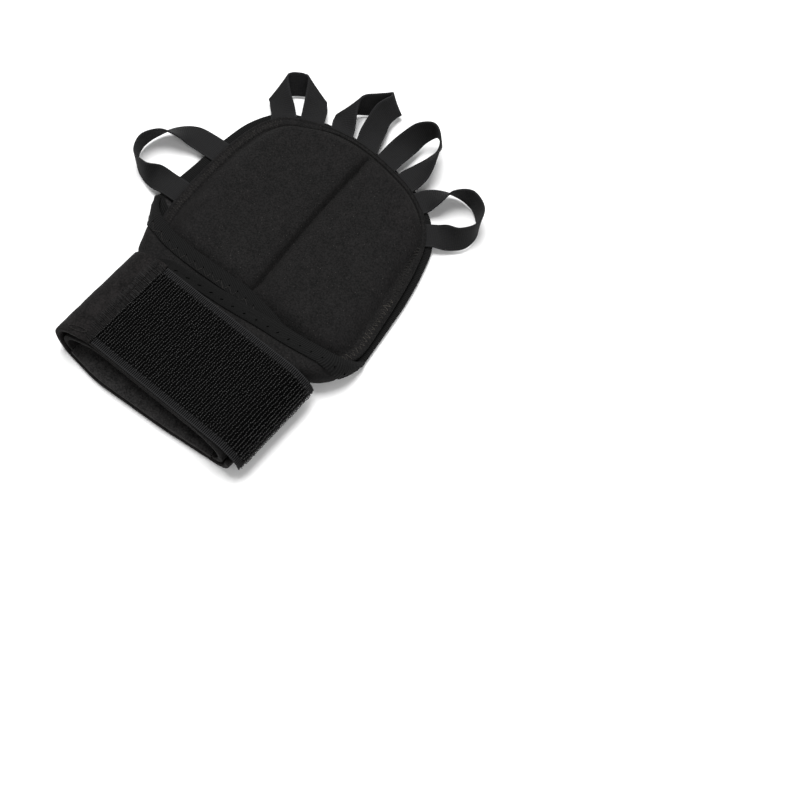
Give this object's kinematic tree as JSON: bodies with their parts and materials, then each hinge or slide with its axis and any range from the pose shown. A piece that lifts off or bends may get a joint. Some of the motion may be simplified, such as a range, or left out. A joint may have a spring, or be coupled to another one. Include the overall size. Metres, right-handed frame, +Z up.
{
  "type": "weighted training glove",
  "caption": "Open weighted glove for a left hand: padded weight pouch on a bound neoprene panel, ribbon finger loops, crossed wings and a wrist strap with hook tape.",
  "frame": {"origin": "middle of the box that the glove fills, on the surface that it lies on", "axes": "+X towards the little finger, +Y towards the fingertips, +Z up from the surface, with the open palm side up"},
  "size_m": [0.1636, 0.2062, 0.0198],
  "materials": {
    "neoprene": "black knit-faced neoprene, matt and slightly fuzzy",
    "binding_tape": "black finely ribbed folded tape, matt",
    "hook_tape": "black moulded nylon hooks on a woven tape",
    "elastic_ribbon": "black woven elastic ribbon, matt with a faint sheen"
  },
  "bodies": {
    "root": {"back_panel": "neoprene", "rim_binding": "binding_tape", "weight_pad": "neoprene", "thumb_side_wing": "neoprene", "little_side_wing": "neoprene", "thumb_wing_binding": "binding_tape", "little_wing_binding": "binding_tape", "wrist_strap": "neoprene", "hook_tape": "hook_tape", "thumb_loop": "elastic_ribbon", "index_loop": "elastic_ribbon", "middle_loop": "elastic_ribbon", "ring_loop": "elastic_ribbon", "little_loop": "elastic_ribbon"}
  },
  "joints": []
}
